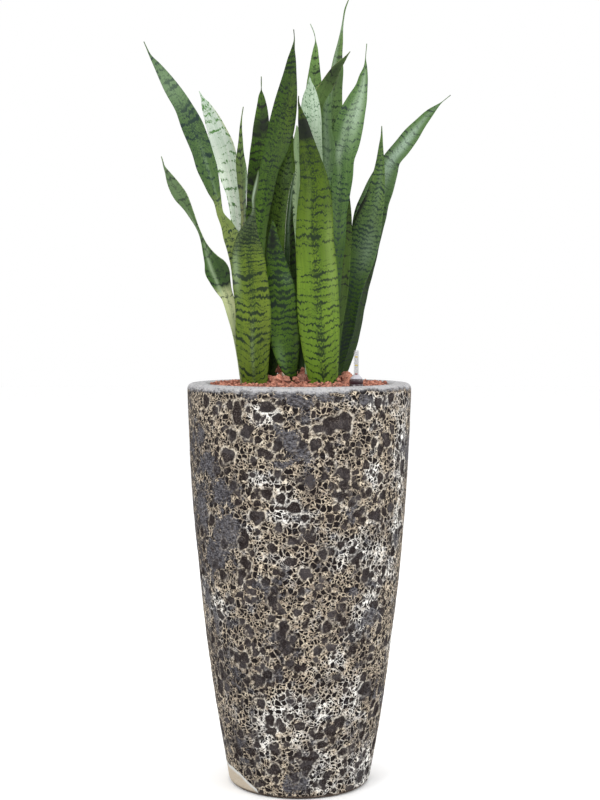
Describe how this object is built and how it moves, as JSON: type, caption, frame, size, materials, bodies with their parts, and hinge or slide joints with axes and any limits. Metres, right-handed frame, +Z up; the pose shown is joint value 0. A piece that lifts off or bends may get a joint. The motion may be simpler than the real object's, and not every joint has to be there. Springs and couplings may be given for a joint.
{
  "type": "potted ceylon bowstring hemp",
  "caption": "Clump of upright banded bowstring hemp leaves in a tall tapered lava-glazed planter, with a lava granule cover and a water level gauge.",
  "frame": {"origin": "centre of the planter's foot, on the floor", "axes": "+Z up along the planter's axis; -Y towards the front that the picture shows; +X to the right seen from the front"},
  "size_m": [0.5091, 0.37, 1.3222],
  "materials": {
    "pot_glaze": "matte lava glaze: a cream net round charcoal craters",
    "clay_grain": "rough fired clay grain",
    "root_soil": "dark soil bound by roots",
    "lava_granules": "rough reddish brown lava granules",
    "leaf_green": "waxy green with dark zigzag cross bands",
    "leaf_pale_side": "pale silvery green with thin zigzag marks",
    "dry_leaf": "dry papery leaf scale",
    "gauge_cup_plastic": "dark purple brown moulded plastic",
    "gauge_clear_plastic": "cloudy clear plastic with yellow level marks",
    "gauge_float_plastic": "light plastic float and rod",
    "gauge_red_plastic": "red plastic pointer"
  },
  "bodies": {
    "planter": {"pot": "pot_glaze", "grain_fill": "clay_grain", "root_ball": "root_soil", "lava_cover": "lava_granules", "leaf_front_left": "leaf_green", "leaf_front_right": "leaf_green", "leaf_front_centre": "leaf_green", "leaf_inner_dark": "leaf_green", "leaf_centre_tall": "leaf_green", "leaf_left_dark": "leaf_green", "leaf_left_olive": "leaf_green", "leaf_left_pale": "leaf_pale_side", "leaf_far_left": "leaf_green", "leaf_left_twisted": "leaf_green", "leaf_inner_curled": "leaf_green", "leaf_inner_pale": "leaf_pale_side", "leaf_back_hidden": "leaf_green", "leaf_back_pale": "leaf_pale_side", "leaf_back_needle": "leaf_green", "leaf_back_slant": "leaf_green", "leaf_back_tallest": "leaf_green", "leaf_right_grey": "leaf_green", "leaf_right_glossy": "leaf_green", "leaf_right_inner": "leaf_green", "leaf_right_banded": "leaf_green", "leaf_right_arched": "leaf_green", "dry_leaf_scale": "dry_leaf", "gauge_cup": "gauge_cup_plastic", "gauge_sight_tube": "gauge_clear_plastic"},
    "float": {"gauge_float": "gauge_float_plastic", "gauge_pointer": "gauge_red_plastic"}
  },
  "joints": [
    {"name": "float_slide", "type": "slide", "parent": "planter", "child": "float", "axis": [0, 0, 1], "range_m": [0, 0.03]}
  ]
}
